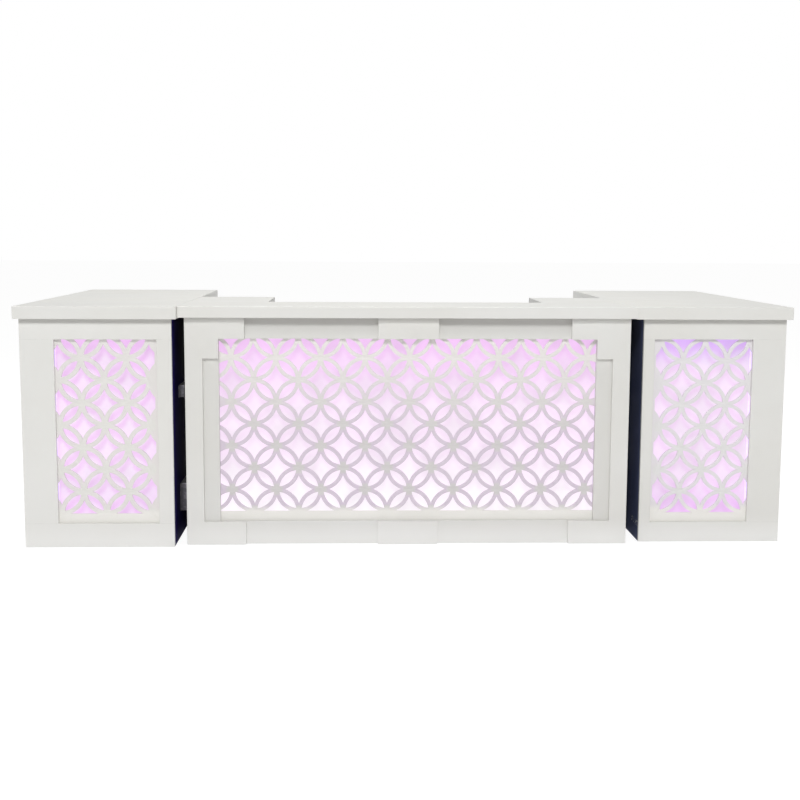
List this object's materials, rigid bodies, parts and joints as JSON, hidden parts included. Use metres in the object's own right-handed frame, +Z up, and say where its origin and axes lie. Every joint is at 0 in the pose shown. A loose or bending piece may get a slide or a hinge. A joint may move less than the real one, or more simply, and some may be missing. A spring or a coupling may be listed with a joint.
{
  "type": "bar counter",
  "caption": "Free-standing event bar counter: a centre with a U-shaped top and deep wings beside it, back-lit circle-lattice fronts, and shelves for the bartender.",
  "frame": {"origin": "on the floor, under the middle of the whole bar", "axes": "+Z up, +X to the guests' right along the front, +Y from the guests to the bartender"},
  "size_m": [3.421, 1.771, 1.067],
  "materials": {
    "white_paint": "white paint, satin",
    "lattice_white": "white paint, matt",
    "black_paint": "black paint, satin",
    "light_panel": "opal sheet lit in pink",
    "led_strip": "diffuse light strip",
    "supply_metal": "brushed",
    "switch_plastic": "fine grain"
  },
  "bodies": {
    "bar": {"centre_counter_top": "white_paint", "centre_front_frame": "white_paint", "centre_left_trim": "white_paint", "centre_right_trim": "white_paint", "centre_top_block": "white_paint", "centre_bottom_block": "white_paint", "centre_lattice_panel": "lattice_white", "centre_led_strip": "led_strip", "centre_light_panel": "light_panel", "centre_work_shelf": "black_paint", "centre_middle_shelf": "black_paint", "centre_floor_shelf": "black_paint", "centre_stretcher": "black_paint", "centre_power_inlet": "switch_plastic", "centre_left_end_wall": "black_paint", "centre_left_upright": "black_paint", "left_pedestal_shelf": "black_paint", "left_pedestal_floor": "black_paint", "centre_right_end_wall": "black_paint", "centre_right_upright": "black_paint", "right_pedestal_shelf": "black_paint", "right_pedestal_floor": "black_paint", "centre_led_driver": "supply_metal", "left_wing_counter_top": "white_paint", "left_wing_front_frame": "white_paint", "left_wing_lattice_panel": "lattice_white", "left_wing_led_strip": "led_strip", "left_wing_light_panel": "light_panel", "left_wing_floor": "black_paint", "left_wing_lower_shelf": "black_paint", "left_wing_upper_shelf": "black_paint", "left_wing_divider": "black_paint", "left_wing_back": "black_paint", "left_wing_outer_side": "white_paint", "left_wing_inner_side": "black_paint", "left_wing_power_inlet": "switch_plastic", "left_wing_led_driver": "supply_metal", "left_wing_led_controller": "supply_metal", "right_wing_counter_top": "white_paint", "right_wing_front_frame": "white_paint", "right_wing_lattice_panel": "lattice_white", "right_wing_led_strip": "led_strip", "right_wing_light_panel": "light_panel", "right_wing_floor": "black_paint", "right_wing_lower_shelf": "black_paint", "right_wing_upper_shelf": "black_paint", "right_wing_divider": "black_paint", "right_wing_back": "black_paint", "right_wing_outer_side": "white_paint", "right_wing_inner_side": "black_paint", "right_wing_power_inlet": "switch_plastic", "right_wing_led_driver": "supply_metal", "right_wing_led_controller": "supply_metal"},
    "centre_switch": {"centre_power_switch": "switch_plastic"},
    "left_switch": {"left_wing_power_switch": "switch_plastic"},
    "right_switch": {"right_wing_power_switch": "switch_plastic"}
  },
  "joints": [
    {"name": "centre_switch_tilt", "type": "hinge", "parent": "bar", "child": "centre_switch", "pos_m": [-0.465, -0.4732, 0.9717], "axis": [0, 0, 1], "range_deg": [-20, 0]},
    {"name": "left_switch_tilt", "type": "hinge", "parent": "bar", "child": "left_switch", "pos_m": [-1.0352, 0.0645, 0.887], "axis": [0, 1, 0], "range_deg": [-20, 0]},
    {"name": "right_switch_tilt", "type": "hinge", "parent": "bar", "child": "right_switch", "pos_m": [1.0502, 0.1355, 0.887], "axis": [0, -1, 0], "range_deg": [-20, 0]}
  ]
}
